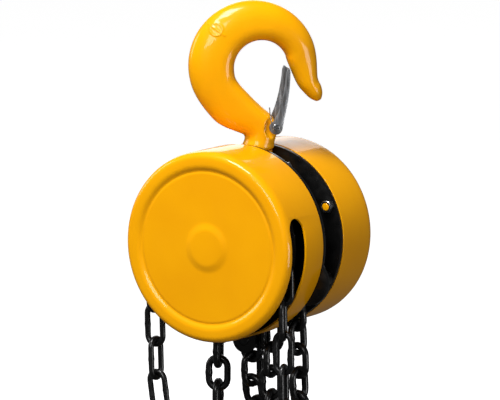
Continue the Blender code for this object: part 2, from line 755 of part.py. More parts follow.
def crosshead(name, frame, spec, parent):
    """The swivel block: bored for the shank, with a trunnion in each plate."""
    z = HOOK_PIN_Z
    block = box(name, (-0.0125, -0.0114, z - 0.007), (0.0125, 0.0114, z + 0.006))
    boss = turned("boss", [(0, 0.012), (0.0102, 0.012), (0.0102, 0.005), (0, 0.005)], 32,
                  Vector((0, 0, z)), upright=True)
    trunnion = rod("trunnion", (0, z), 0.0070, -PLATE_OUT + GAP, PLATE_OUT - GAP, 24)
    bore = turned("bore", [(0, 0.02), (0.0073, 0.02), (0.0073, -0.02), (0, -0.02)], 24,
                  Vector((0, 0, z)), upright=True)
    in_place(frame, block, boss, trunnion, bore)
    join(block, boss, trunnion)
    cut(block, bore)
    keep(block, spec, parent)


def hooks():
    top_frame = Matrix.Rotation(TOP_HOOK_YAW, 4, "Z")
    seat = Vector((SHAFT_X + BLOCK_X, LOADED_Y, BOTTOM_HOOK_SEAT))
    block_frame = Matrix.Translation(seat) @ Matrix.Rotation(math.pi, 4, "X")
    px, pz = LATCH_PIVOT
    latch_place = Vector((px, 0, pz))
    hook_set("top", top_frame, None, pivot("top_latch_axis", top_frame @ latch_place))
    swivel = pivot("bottom_hook_axis", seat)
    hook_set("bottom", block_frame, swivel, pivot("bottom_latch_axis", block_frame @ latch_place))
    tilt = pivot("frame_tilt_axis", Vector((0, 0, HOOK_PIN_Z)))
    crosshead("top_crosshead", Matrix.Identity(4), YELLOW, tilt)
    pin = pivot("block_tilt_axis", placed(BLOCK_X, BLOCK_PIN_Z, LOADED_Y))
    crosshead("block_crosshead", block_frame, BLACK, pin)


# ---------------------------------------------------------------- hook block
def hook_block():
    """Two plates round the idler sheave, joined by its axle and by the crosshead."""
    drop = BLOCK_PIN_Z - IDLER_Z
    outline = arc((0, 0), 0.0315, -18, 198, 30)
    outline += arc((0, drop), 0.0165, 205, 335, 14)
    outlines = [outline, circle(0.0073, 24), circle(0.0073, 24, (0, drop))]
    centre = placed(BLOCK_X, IDLER_Z)
    for name, side in (("front", -1), ("rear", 1)):
        y0, y1 = sorted((LOADED_Y + side * PLATE_IN, LOADED_Y + side * PLATE_OUT))
        keep(sheet(f"block_plate_{name}", outlines, y0, y1, centre), YELLOW)
    low, high = LOADED_Y - 0.0185, LOADED_Y + 0.0185
    axle = rod("idler_axle", centre, 0.0070, low, high, 28)
    head = nut("head", centre, LOADED_Y - 0.0225, LOADED_Y - 0.0163, 0.019, 0.003)
    end = nut("end", centre, LOADED_Y + 0.0163, LOADED_Y + 0.0225, 0.019, 0.003)
    join(axle, head, end)
    keep(axle, STEEL)


# ---------------------------------------------------------------- chains
def wrap(centre, radius, start, end, steps, y):
    return [Vector((x, y, z)) for x, z in arc(centre, radius, start, end, steps)]


def load_chain():
    """One run: dead end, idler, load sheave, slack bight and slack end."""
    dead_x, dead_z = DEAD_END
    idler = (BLOCK_X, IDLER_Z)
    middle = (SLACK_X + SLACK_RUN_X) / 2
    radius = (SLACK_RUN_X - SLACK_X) / 2
    runs = [
        [Vector((dead_x, LOADED_Y, dead_z - 0.0045)), Vector((dead_x, LOADED_Y, -0.130))],
        wrap(idler, IDLER_R, 0, -180, 10, LOADED_Y),
        [Vector((-SHEAVE_R, LOADED_Y, -0.130)), Vector((-SHEAVE_R, -0.0010, -0.050))],
        wrap((0, 0), SHEAVE_R, 180, 0, 12, 0.0),
        [
            Vector((0.0330, 0, -0.0300)),
            Vector((0.0385, 0, -0.0600)),
            Vector((SLACK_RUN_X, 0, -0.0900)),
            Vector((SLACK_RUN_X, 0.001, -0.1150)),
            Vector((SLACK_RUN_X, 0.009, -0.1350)),
        ],
        wrap((middle, BIGHT_Z), radius, 0, -180, 8, BIGHT_Y),
        [
            Vector((SLACK_X, 0.009, -0.1350)),
            Vector((SLACK_X, 0.001, -0.1150)),
            Vector((SLACK_X, 0, SLACK_PIN_Z - 0.0045)),
        ],
    ]
    route = [point for run in runs for point in run]
    world = [placed(point.x, point.z, point.y) for point in route]
    keep(tube("load_chain", world, LOAD_TUBE), CHAIN)


def hand_chain():
    """The endless hand chain: over its wheel and down to a bight under the cover."""
    low = (HAND_LEAN, HAND_LOW_Z + WHEEL_R)
    route = wrap((0, 0), WHEEL_R, 180, 0, 14, WHEEL_Y)
    route += wrap(low, WHEEL_R - 0.0005, -6, -174, 12, WHEEL_Y)
    world = [placed(point.x, point.z, WHEEL_Y) for point in route]
    keep(tube("hand_chain", world, HAND_TUBE, cyclic=True), CHAIN)


# ---------------------------------------------------------------- assembly
clear_scene()
PARTS = new_collection("chain_hoist")
CUTTERS = new_collection("cutters")

side_plate("wheel_side_plate", -PLATE_OUT, -PLATE_IN, False)
side_plate("gear_side_plate", PLATE_IN, PLATE_OUT, True)
stay_bolts()
covers()
chain_path_fittings()
support()
lifting_wheels()
gear_train()
drive_line()
pawls()
hooks()
hook_block()
load_chain()
hand_chain()
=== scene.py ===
"""Looks of a hand chain hoist: forged hooks, pressed covers, link chains and their finishes.

Metres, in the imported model's frame. The shaft's centre, the hooks' places and the joints'
axes come from the frame; `at` gives a world point from a place measured from the shaft.
"""

import json
import math

import bmesh
import bpy
from mathutils import Matrix, Vector


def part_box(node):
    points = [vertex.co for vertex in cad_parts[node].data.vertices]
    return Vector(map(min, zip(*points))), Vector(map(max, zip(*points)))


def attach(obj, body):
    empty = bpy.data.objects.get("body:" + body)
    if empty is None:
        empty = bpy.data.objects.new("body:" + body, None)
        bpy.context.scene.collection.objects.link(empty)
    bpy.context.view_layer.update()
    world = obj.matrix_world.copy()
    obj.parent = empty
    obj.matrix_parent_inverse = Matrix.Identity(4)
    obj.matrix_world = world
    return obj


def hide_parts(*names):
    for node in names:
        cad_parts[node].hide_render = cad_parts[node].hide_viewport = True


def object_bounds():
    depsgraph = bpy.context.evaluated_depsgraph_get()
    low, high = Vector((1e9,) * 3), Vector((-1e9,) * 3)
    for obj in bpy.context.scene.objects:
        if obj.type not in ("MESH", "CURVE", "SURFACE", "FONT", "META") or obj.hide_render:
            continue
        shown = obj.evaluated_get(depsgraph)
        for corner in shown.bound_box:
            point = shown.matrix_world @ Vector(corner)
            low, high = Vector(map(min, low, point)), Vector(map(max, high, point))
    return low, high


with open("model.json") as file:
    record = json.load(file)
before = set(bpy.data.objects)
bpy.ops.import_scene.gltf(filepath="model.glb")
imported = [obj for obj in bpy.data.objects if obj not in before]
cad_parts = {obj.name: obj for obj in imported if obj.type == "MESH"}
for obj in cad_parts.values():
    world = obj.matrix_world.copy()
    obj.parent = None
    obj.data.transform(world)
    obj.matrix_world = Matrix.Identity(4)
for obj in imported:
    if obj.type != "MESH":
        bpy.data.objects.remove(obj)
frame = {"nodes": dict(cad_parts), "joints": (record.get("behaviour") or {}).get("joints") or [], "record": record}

cad_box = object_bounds()

# ---------------------------------------------------------------- places from the frame
JOINTS = {joint["name"]: joint for joint in frame["joints"]}
WHEEL_LOW, WHEEL_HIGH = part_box("hand_wheel")
SHAFT_X = (WHEEL_LOW.x + WHEEL_HIGH.x) / 2
SHAFT_Z = (WHEEL_LOW.z + WHEEL_HIGH.z) / 2
HOOK_SEAT = Vector(JOINTS["bottom_hook_swivel"]["pos_m"])
LATCH_AXIS = Vector(JOINTS["top_latch_open"]["axis"])
TOP_FRAME = Matrix.Rotation(math.atan2(LATCH_AXIS.x, -LATCH_AXIS.y), 4, "Z")
BOTTOM_FRAME = Matrix.Translation(HOOK_SEAT) @ Matrix.Rotation(math.pi, 4, "X")

# ---------------------------------------------------------------- camera
CAMERA_AZIMUTH = math.radians(31.75)
CAMERA_ELEVATION = math.radians(9.168)
CAMERA_TURN = math.radians(-0.018)
CAMERA_TILT = math.radians(0.436)
CAMERA_ROLL = math.radians(0.157)
CAMERA_DISTANCE = 3.577
CAMERA_LENS = 346.585
CAMERA_AIM = Vector((SHAFT_X, -0.002, SHAFT_Z))

# ---------------------------------------------------------------- studio
# Softboxes: name, azimuth from the front in degrees, elevation, distance, side, watts.
SOFTBOXES = [
    ("key", -4, 62, 1.6, 0.65, 29),
    ("front", 14, 24, 2.2, 0.9, 18),
    ("left", -75, 18, 2.0, 0.8, 7),
    ("right", 88, -8, 2.0, 0.8, 13),
    ("back", 212, 20, 1.6, 0.9, 5),
]
WORLD_STRENGTH = 0.08
FLOOR_DROP = 0.02
FLOOR_SIZE = 40

# ---------------------------------------------------------------- chains
# Places are (across, up) from the shaft; radii are to the middle of the chain.
LOAD_PITCH = 0.018
LOAD_LINK = {"pitch": LOAD_PITCH, "wire": 0.0052, "width": 0.0194}
HAND_LINK = {"pitch": 0.025, "wire": 0.0044, "width": 0.0174}
SHEAVE_R = LOAD_PITCH / 2 / math.sin(math.radians(18))
IDLER_R = LOAD_PITCH / 2 / math.sin(math.radians(22.5))
IDLER_X = IDLER_R - SHEAVE_R
IDLER_Z = -0.214
LOADED_Y = -0.002
DEAD_END = (2 * IDLER_R - SHEAVE_R, -0.048)
SLACK_X = -0.0006
SLACK_RUN_X = 0.040
SLACK_PIN_Z = -0.0765
BIGHT_Y = 0.015
BIGHT_Z = -0.151
HAND_Y = -0.0502
HAND_R = 0.0562
HAND_TOP = 0.0510
HAND_LOW = (0.003, -0.1068)

# Known links along each chain: place across and up from the shaft, and the direction of
# the link's width in degrees from +X towards +Y.
LOAD_LINKS = [
    (0.0179, -0.0530, 90), (0.0179, -0.0722, 10), (0.0179, -0.0909, 90), (0.0179, -0.1083, 10),
    (-0.0291, -0.1060, 20), (-0.0291, -0.0883, 110),
    (0.0395, -0.0722, 82), (0.0400, -0.0898, -8), (0.0400, -0.1079, 82),
    (SLACK_X, -0.1174, -4), (SLACK_X, -0.1001, 68), (SLACK_X, -0.0817, 0),
]
HAND_LINKS = [
    (0.0562, -0.0494, 112), (0.0570, -0.0747, 3), (0.0578, -0.0994, 106),
    (-0.0545, -0.0892, 90), (-0.0555, -0.0642, 0),
]

# ---------------------------------------------------------------- body
# PLATE_IN and PLATE_OUT are how far the side plates' faces are from the middle plane.
WHEEL_COVER_R = 0.071
GEAR_COVER_R = 0.069
COVER_WALL = 0.0015
FACE_DEPTH = 0.0014
FIT_GAP = 0.0003
PLATE_IN = 0.012
PLATE_OUT = 0.016
WHEEL_PLATE_R = 0.0704
GEAR_PLATE_R = 0.0686
LOBE = (0.0565, -0.0272, 0.0174)  # across, up, radius
# Cover studs: distance from the shaft, degrees.
WHEEL_STUD_PLACES = ((0.0652, 58), (0.0652, 190), (0.0652, 345))
GEAR_STUD_PLACES = ((0.0636, 24), (0.0636, 156), (0.0636, 318))
LUG_R = 0.0053
STUD_R = 0.0028
STUD_TIP = 0.0074
NUT_FLATS = 0.0085
NUT_BORE_R = 0.0030
BOLT_HOLE_R = 0.0033
PIN_HOLE_R = 0.0043
TRUNNION_BORE_R = 0.0073
BEARING_HOLE_R = 0.0225
GEAR_HOLE_R = 0.0054
GEAR_CENTRES = 0.03375
DISC_GEAR_ANGLES = (25, 205)
POST_ANGLES = (112, 322)
PAWL_ANGLES = (62, 242)
POST_R = 0.046
ANCHOR_BOLT = (SLACK_X, -0.058)
ANCHOR_TOP_R, ANCHOR_LOW_R = 0.0085, 0.0098
STAY_BOLTS = ("stay_bolt_left", "stay_bolt_right", "stay_bolt_top", "stay_bolt_bottom")
STAY_R, STAY_END_R, STAY_TIP = 0.0055, 0.003, 0.0163
SLOT_FRONT, SLOT_BACK = -0.060, -0.0405
SLOT_TOP_ANGLE, SLOT_END_ANGLE = 21, -78
HOOK_PIN_Z = -0.0933
BLOCK_DROP = -0.048
BLOCK_TOP_R, BLOCK_LOW_R = 0.0315, 0.0165
AXLE_R, AXLE_FLATS, AXLE_NUT_HIGH = 0.0070, 0.019, 0.0062
CROSSHEAD_SIZE = (0.025, 0.0228, 0.013)
TRUNNION_R = 0.0070

# ---------------------------------------------------------------- hooks, in their own plane
BOWL_CENTRE, BOWL_R = (0.0016, -0.02015), 0.0204
BACK_CENTRE, BACK_R = (-0.0046, -0.018), 0.048
LATCH_PIVOT = (0.0116, -0.0641)
LATCH_HALF = 0.010
LATCH_WALL = 0.0014
LATCH_EAR_R = 0.0050
RIVET_R, RIVET_HEAD_R, RIVET_HEAD_HIGH = 0.0020, 0.0027, 0.0010
LATCH_BOSS, LATCH_BOSS_R = (0.0122, -0.0650), 0.0048
LATCH_FLAT_Y, LATCH_FLAT_R = 0.0083, 0.0088
SPRING_R, SPRING_WIRE_R = 0.0034, 0.0005
COLLAR_Z = -0.081
SHANK_R, SHANK_END = 0.0068, -0.1066
HOOK_NUT_R, HOOK_NUT_TOP, HOOK_NUT_LOW = 0.0105, -0.1006, -0.1058
MARK_CENTRE, MARK_R, MARK_BAR = (-0.0335, 0.0098), 0.0045, 0.0075
MARK_HIGH, MARK_HALF_WIDTH = 0.0005, 0.0009


# ---------------------------------------------------------------- small helpers
def at(x, z, y=0.0):
    """The world point across and up from the shaft's centre."""
    return Vector((SHAFT_X + x, y, SHAFT_Z + z))


def polar(radius, degrees):
    angle = math.radians(degrees)
    return radius * math.cos(angle), radius * math.sin(angle)


def arc(centre, radius, start, end, steps):
    turned = [start + (end - start) * i / steps for i in range(steps + 1)]
    points = [polar(radius, degrees) for degrees in turned]
    return [(centre[0] + x, centre[1] + z) for x, z in points]


def circle(radius, sides=48, centre=(0, 0)):
    return arc(centre, radius, 0, 360 - 360 / sides, sides - 1)


def rounded(corners, steps=4):
    """Points along corners (a, b, cut), each rounded off from `cut` before it to `cut` after."""
    points = []
    for i, (a, b, size) in enumerate(corners):
        corner = Vector((a, b))
        if not size:
            points.append(corner)
            continue
        ends = [Vector(corners[(i + step) % len(corners)][:2]) - corner for step in (-1, 1)]
        start, end = [corner + to.normalized() * min(size, 0.49 * to.length) for to in ends]
        for step in range(steps + 1):
            t = step / steps
            points.append(start * (1 - t) ** 2 + corner * 2 * t * (1 - t) + end * t**2)
    return [tuple(point) for point in points]


def new_object(name, data):
    obj = bpy.data.objects.new(name, data)
    bpy.context.scene.collection.objects.link(obj)
    return obj


def object_of(name, bm):
    bmesh.ops.recalc_face_normals(bm, faces=bm.faces)
    mesh = bpy.data.meshes.new(name)
    bm.to_mesh(mesh)
    bm.free()
    return new_object(name, mesh)


def shade(obj, angle=32):
    obj.data.shade_smooth()
    obj.data.set_sharp_from_angle(angle=math.radians(angle))
    return obj


def baked(obj):
    """The object with its modifiers applied."""
    bpy.context.view_layer.update()
    evaluated = obj.evaluated_get(bpy.context.evaluated_depsgraph_get())
    mesh = bpy.data.meshes.new_from_object(evaluated)
    obj.modifiers.clear()
    obj.data = mesh
    return obj


def combined(obj, operation, *others):
    for other in others:
        modifier = obj.modifiers.new(operation, "BOOLEAN")
        modifier.operation = operation
        modifier.object = other
    baked(obj)
    for other in others:
        bpy.data.objects.remove(other, do_unlink=True)
    return obj


def bevelled(obj, width, segments=2, angle=32):
    weld = obj.modifiers.new("weld", "WELD")
    weld.merge_threshold = 0.000003
    bevel = obj.modifiers.new("bevel", "BEVEL")
    bevel.width = width
    bevel.segments = segments
    bevel.limit_method = "ANGLE"
    bevel.angle_limit = math.radians(angle)
    return baked(obj)


def lathe(name, profile, steps=96, centre=None, axis="Y"):
    """A closed profile of (radius, along) turned about Y or Z through a world point."""
    bm = bmesh.new()
    centre = at(0, 0) if centre is None else centre
    rows = []
    for radius, along in profile:
        count = 1 if radius < 1e-7 else steps
        row = []
        for i in range(count):
            across, up = polar(radius, 360 * i / steps)
            place = (across, along, up) if axis == "Y" else (across, up, along)
            row.append(bm.verts.new(centre + Vector(place)))
        rows.append(row)
    on_axis = len(rows[0]) == 1 and len(rows[-1]) == 1
    pairs = list(zip(rows, rows[1:])) + ([] if on_axis else [(rows[-1], rows[0])])
    for first, second in pairs:
        for i in range(steps):
            corners = [first[i % len(first)], first[(i + 1) % len(first)]]
            corners += [second[(i + 1) % len(second)], second[i % len(second)]]
            unique = list(dict.fromkeys(corners))
            if len(unique) > 2:
                bm.faces.new(unique)
    return object_of(name, bm)


def mesh_of(name, curve):
    """The mesh that a curve makes."""
    guide = new_object(name + "_guide", curve)
    bpy.context.view_layer.update()
    evaluated = guide.evaluated_get(bpy.context.evaluated_depsgraph_get())
    mesh = bpy.data.meshes.new_from_object(evaluated)
    bpy.data.objects.remove(guide, do_unlink=True)
    return mesh


def sheet(name, outlines, y0, y1, centre, edge=0.0):
    """A flat plate of (x, z) outlines, the first outside and the rest holes, with eased edges."""
    curve = bpy.data.curves.new(name, "CURVE")
    curve.dimensions = "2D"
    curve.fill_mode = "BOTH"
    curve.extrude = (y1 - y0) / 2
    for outline in outlines:
        spline = curve.splines.new("POLY")
        spline.points.add(len(outline) - 1)
        for point, (x, z) in zip(spline.points, outline):
            point.co = (x, z, 0, 1)
        spline.use_cyclic_u = True
    mesh = mesh_of(name, curve)
    place = Matrix.Translation((centre[0], (y0 + y1) / 2, centre[2]))
    mesh.transform(place @ Matrix.Rotation(math.pi / 2, 4, "X"))
    bm = bmesh.new()
    bm.from_mesh(mesh)
    bmesh.ops.remove_doubles(bm, verts=bm.verts, dist=0.000002)
    obj = object_of(name, bm)
    return bevelled(obj, edge) if edge else obj


def rod(name, centre, radius, y0, y1, ease=0.0004, sides=48):
    """A pin along Y through a world point, with eased ends."""
    corners = [(0, y1, 0), (radius, y1, ease), (radius, y0, ease), (0, y0, 0)]
    return lathe(name, rounded(corners), sides, Vector((centre[0], 0, centre[2])))


def loft(name, rings):
    """A closed skin over rings of as many points each."""
    bm = bmesh.new()
    rows = [[bm.verts.new(point) for point in ring] for ring in rings]
    count = len(rings[0])
    for row, following in zip(rows, rows[1:]):
        for i in range(count):
            j = (i + 1) % count
            bm.faces.new((row[i], row[j], following[j], following[i]))
    bm.faces.new(rows[0][::-1])
    bm.faces.new(rows[-1])
    return object_of(name, bm)


def wire(name, points, radius):
    """A round wire through the points, as a mesh."""
    curve = bpy.data.curves.new(name, "CURVE")
    curve.dimensions = "3D"
    curve.bevel_depth = radius
    curve.bevel_resolution = 3
    curve.use_fill_caps = True
    spline = curve.splines.new("POLY")
    spline.points.add(len(points) - 1)
    for place, point in zip(points, spline.points):
        point.co = (*place, 1)
    return shade(bevelled(new_object(name, mesh_of(name, curve)), 0), 60)


def finish(obj, look, body, slot, *nodes):
    """Gives a piece its material and body, and has it stand for CAD nodes; slot is not used."""
    obj.data.materials.clear()
    obj.data.materials.append(look)
    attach(obj, body)
    if nodes:
        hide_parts(*nodes)
    return obj


# ---------------------------------------------------------------- materials
def new_material(name, colour, roughness, metallic=0.0, **sockets):
    made = bpy.data.materials.new(name)
    made.use_nodes = True
    bsdf = made.node_tree.nodes["Principled BSDF"]
    bsdf.inputs["Base Color"].default_value = (*colour, 1)
    bsdf.inputs["Roughness"].default_value = roughness
    bsdf.inputs["Metallic"].default_value = metallic
    for socket, value in sockets.items():
        bsdf.inputs[socket.replace("_", " ")].default_value = value
    return made


def texture(made, scale, detail, stretch=(1, 1, 1)):
    """A noise over the piece's own coordinates; scale is features per metre."""
    nodes, links = made.node_tree.nodes, made.node_tree.links
    place = nodes.new("ShaderNodeTexCoord")
    mapping = nodes.new("ShaderNodeMapping")
    mapping.inputs["Scale"].default_value = stretch
    found = nodes.new("ShaderNodeTexNoise")
    found.inputs["Scale"].default_value = scale
    found.inputs["Detail"].default_value = detail
    links.new(place.outputs["Object"], mapping.inputs["Vector"])
    links.new(mapping.outputs["Vector"], found.inputs["Vector"])
    return found.outputs["Fac"]


def vary_colour(made, factor, *stops):
    """Base colour from a factor through (position, colour) stops."""
    nodes, links = made.node_tree.nodes, made.node_tree.links
    ramp = nodes.new("ShaderNodeValToRGB")
    while len(ramp.color_ramp.elements) < len(stops):
        ramp.color_ramp.elements.new(0.5)
    for element, (position, colour) in zip(ramp.color_ramp.elements, stops):
        element.position = position
        element.color = (*colour, 1)
    links.new(factor, ramp.inputs["Fac"])
    links.new(ramp.outputs["Color"], nodes["Principled BSDF"].inputs["Base Color"])


def vary_roughness(made, factor, low, high):
    nodes, links = made.node_tree.nodes, made.node_tree.links
    spread = nodes.new("ShaderNodeMapRange")
    spread.inputs["From Min"].default_value = 0.3
    spread.inputs["From Max"].default_value = 0.7
    spread.inputs["To Min"].default_value = low
    spread.inputs["To Max"].default_value = high
    links.new(factor, spread.inputs["Value"])
    links.new(spread.outputs["Result"], nodes["Principled BSDF"].inputs["Roughness"])


def add_bump(made, factor, distance):
    nodes, links = made.node_tree.nodes, made.node_tree.links
    bump = nodes.new("ShaderNodeBump")
    bump.inputs["Strength"].default_value = 1.0
    bump.inputs["Distance"].default_value = distance
    links.new(factor, bump.inputs["Height"])
    normal = nodes["Principled BSDF"].inputs["Normal"]
    if normal.is_linked:
        links.new(normal.links[0].from_socket, bump.inputs["Normal"])
    links.new(bump.outputs["Normal"], normal)


def yellow_enamel(name, peel):
    """Thick gloss enamel: faint drift of colour, orange peel, and a clear top."""
    made = new_material(
        name, (0.97, 0.41, 0.001), 0.34,
        Specular_IOR_Level=0.1, Coat_Weight=0.5, Coat_Roughness=0.07,
    )
    drift = texture(made, 22, 2)
    vary_colour(made, drift, (0.35, (0.95, 0.40, 0.0005)), (0.65, (0.995, 0.435, 0.0006)))
    vary_roughness(made, texture(made, 60, 3), 0.28, 0.38)
    add_bump(made, texture(made, 420, 2), peel)
    add_bump(made, texture(made, 1500, 2), peel * 0.15)
    return made


def black_paint():
    """Near-black gloss paint, uneven in shine."""
    made = new_material(
        "black_paint", (0.003, 0.003, 0.003), 0.3,
        Specular_IOR_Level=0.3, Coat_Weight=0.2, Coat_Roughness=0.1,
    )
    vary_colour(made, texture(made, 90, 4), (0.4, (0.002, 0.002, 0.002)), (0.7, (0.005, 0.005, 0.005)))
    vary_roughness(made, texture(made, 140, 4), 0.24, 0.42)
    add_bump(made, texture(made, 650, 3), 0.00004)
    return made


def chain_black(name, scale):
    """Blackened, lightly oiled links, worn a little paler in patches."""
    made = new_material(
        name, (0.006, 0.006, 0.006), 0.3,
        Specular_IOR_Level=0.35, Coat_Weight=0.3, Coat_Roughness=0.12,
    )
    patches = texture(made, scale, 5)
    vary_colour(made, patches, (0.42, (0.002, 0.002, 0.002)), (0.72, (0.009, 0.009, 0.010)))
    vary_roughness(made, texture(made, scale * 2, 4), 0.25, 0.48)
    add_bump(made, texture(made, 1100, 4), 0.00006)
    return made


def galvanised():
    """Zinc with drawn streaks along the pressing."""
    made = new_material("galvanised", (0.4, 0.41, 0.42), 0.34, 0.9)
    streaks = texture(made, 700, 3, (1, 1, 0.08))
    vary_colour(made, streaks, (0.38, (0.20, 0.205, 0.21)), (0.62, (0.42, 0.43, 0.45)))
    vary_roughness(made, texture(made, 500, 3, (1, 1, 0.2)), 0.26, 0.5)
    add_bump(made, streaks, 0.00003)
    return made


def zinc_fastener():
    """Bright plating with a fine mottle."""
    made = new_material("zinc_fastener", (0.45, 0.45, 0.46), 0.3, 1.0)
    vary_colour(made, texture(made, 800, 4), (0.4, (0.32, 0.33, 0.34)), (0.65, (0.58, 0.58, 0.60)))
    vary_roughness(made, texture(made, 1200, 3), 0.2, 0.38)
    add_bump(made, texture(made, 1500, 3), 0.00002)
    return made


def machined(name, base, roughness):
    """Steel with fine lines along the shaft and darker, greasy patches."""
    made = new_material(name, base, roughness, 1.0)
    lines = texture(made, 700, 2, (1, 0.1, 1))
    dark = tuple(value * 0.6 for value in base)
    vary_colour(made, texture(made, 160, 4), (0.35, dark), (0.7, base))
    vary_roughness(made, lines, roughness * 0.7, roughness * 1.4)
    add_bump(made, lines, 0.00002)
    return made


def friction_lining():
    """Matt brown lining with coarse grains."""
    made = new_material("lining", (0.05, 0.04, 0.03), 0.9)
    grains = texture(made, 1600, 3)
    vary_colour(made, grains, (0.35, (0.03, 0.024, 0.02)), (0.6, (0.12, 0.09, 0.07)))
    add_bump(made, grains, 0.0001)
    return made


def studio_floor():
    """Glows nearly white by itself, so the ground stays even."""
    made = new_material("studio_floor", (0.93, 0.93, 0.93), 0.9, Emission_Strength=0.9)
    made.node_tree.nodes["Principled BSDF"].inputs["Emission Color"].default_value = (1, 1, 1, 1)
    vary_colour(made, texture(made, 3, 2), (0.3, (0.92, 0.92, 0.92)), (0.7, (0.95, 0.95, 0.95)))
    return made


# ---------------------------------------------------------------- stage
def add_camera():
    """A long lens from the hand-wheel cover's right, a little above the shaft."""
    azimuth, elevation = CAMERA_AZIMUTH, CAMERA_ELEVATION
    level = Vector((math.sin(azimuth), -math.cos(azimuth), 0))
    back = level * math.cos(elevation) + Vector((0, 0, math.sin(elevation)))
    forward = -back
    up_world = Vector((0, 0, 1))
    right = forward.cross(up_world).normalized()
    up = right.cross(forward)
    forward = (forward + math.tan(CAMERA_TURN) * right + math.tan(CAMERA_TILT) * up).normalized()
    right = forward.cross(up_world).normalized()
    up = right.cross(forward)
    cos_roll, sin_roll = math.cos(CAMERA_ROLL), math.sin(CAMERA_ROLL)
    across = cos_roll * right + sin_roll * up
    upward = cos_roll * up - sin_roll * right
    data = bpy.data.cameras.new("camera")
    data.lens = CAMERA_LENS
    data.sensor_width = 36
    data.clip_end = 100
    camera = new_object("camera", data)
    turned = Matrix((across, upward, -forward)).transposed().to_4x4()
    camera.matrix_world = Matrix.Translation(CAMERA_AIM + back * CAMERA_DISTANCE) @ turned
    bpy.context.scene.camera = camera


def softbox(name, azimuth, elevation, distance, size, power):
    """A square light aimed at the hoist; azimuth 0 is in front of the hand-wheel cover."""
    data = bpy.data.lights.new(name, "AREA")
    data.shape = "SQUARE"
    data.size = size
    data.energy = power
    light = new_object(name, data)
    x, y = polar(math.cos(math.radians(elevation)), azimuth - 90)
    away = Vector((x, y, math.sin(math.radians(elevation))))
    light.location = at(0, 0) + away * distance
    light.rotation_mode = "QUATERNION"
    light.rotation_quaternion = away.to_track_quat("Z", "Y")


def studio():
    """Dim world, softboxes, and a floor that neither lights the hoist nor shows in it."""
    world = bpy.data.worlds.new("studio")
    world.use_nodes = True
    background = world.node_tree.nodes["Background"]
    background.inputs["Color"].default_value = (1, 1, 1, 1)
    background.inputs["Strength"].default_value = WORLD_STRENGTH
    bpy.context.scene.world = world
    bpy.context.scene.view_settings.view_transform = "Standard"
    for box in SOFTBOXES:
        softbox(*box)
    bm = bmesh.new()
    bmesh.ops.create_grid(bm, x_segments=8, y_segments=8, size=FLOOR_SIZE)
    floor = object_of("floor", bm)
    floor.location = (0, 0, cad_box[0].z - FLOOR_DROP)
    floor.data.materials.append(studio_floor())
    floor.visible_diffuse = False
    floor.visible_glossy = False


# ---------------------------------------------------------------- chains
def distances(points):
    """How far each point is along its route."""
    total = [0.0]
    for first, second in zip(points, points[1:]):
        total.append(total[-1] + (second - first).length)
    return total


def point_along(points, reach, distance, closed):
    """The point that far along a route; past an open end it goes straight on."""
    if closed:
        distance %= reach[-1]
    low = 0
    while low < len(points) - 2 and reach[low + 1] < distance:
        low += 1
    share = (distance - reach[low]) / (reach[low + 1] - reach[low])
    return points[low].lerp(points[low + 1], share)


def known_links(points, reach, links):
    """(distance, turn about the route) of each known link on the route."""
    found = []
    step, look_round = 0.0005, 0.002
    samples = int(reach[-1] / step)
    for x, z, width_angle in links:
        goal = at(x, z)

        def miss(i):
            place = point_along(points, reach, i * step, False)
            return (place.x - goal.x) ** 2 + (place.z - goal.z) ** 2

        distance = min(range(samples), key=miss) * step
        before = point_along(points, reach, distance - look_round, False)
        after = point_along(points, reach, distance + look_round, False)
        rises = after.z > before.z
        found.append((distance, 180 - width_angle if rises else width_angle))
    return found


def link_places(reach, known, pitch, closed):
    """Every link's (distance, turn): about a pitch apart, a quarter turn each, through the known."""
    if closed:
        known = known + [(known[0][0] + reach[-1], known[0][1])]
    places = []
    for (start, turn), (end, end_turn) in zip(known, known[1:]):
        count = max(1, round((end - start) / pitch))
        spare = (end_turn - turn - 90 * count + 90) % 180 - 90
        for i in range(count):
            places.append((start + (end - start) * i / count, turn + (90 + spare / count) * i))
    return places if closed else places + [known[-1]]


def add_link(bm, centre, along, turn, link, start_twist=0.0):
    """One welded link: a round wire bent to a stadium, with a weld swelling on one side."""
    sides, weld_high, weld_half = 14, 0.13, 0.0016
    wire_r = link["wire"] / 2
    bend_r = (link["width"] - link["wire"]) / 2
    half = (link["pitch"] + link["wire"]) / 2
    straight = half - bend_r
    line = [(x, y, 0.0) for x, y in arc((straight, 0), bend_r, -90, 90, 10)]
    line += [(straight * (1 - 2 * i / 8), bend_r, 0.0) for i in range(1, 8)]
    line += [(x, y, 0.0) for x, y in arc((-straight, 0), bend_r, 90, 270, 10)]
    line += [(straight * (2 * i / 8 - 1), -bend_r, 1.0) for i in range(1, 8)]
    level = (Vector((0, 1, 0)) - along * along.y).normalized()
    side = along.cross(level)
    rings = []
    for i, (x, y, welded) in enumerate(line):
        before, after = line[i - 1], line[(i + 1) % len(line)]
        tangent = Vector((after[0] - before[0], after[1] - before[1])).normalized()
        outward = Vector((tangent.y, -tangent.x))
        angle = math.radians(turn + start_twist * (0.5 - 0.5 * x / half))
        wide = side * math.cos(angle) + level * math.sin(angle)
        thick = along.cross(wide)
        radius = wire_r * (1 + weld_high * welded * math.exp(-((x / weld_half) ** 2)))
        ring = []
        for step in range(sides):
            out, up = polar(radius, 360 * step / sides)
            place = centre + along * (x + out * outward.x) + wide * (y + out * outward.y)
            ring.append(bm.verts.new(place + thick * up))
        rings.append(ring)
    for ring, following in zip(rings, rings[1:] + rings[:1]):
        for i in range(sides):
            j = (i + 1) % sides
            bm.faces.new((ring[i], ring[j], following[j], following[i]))


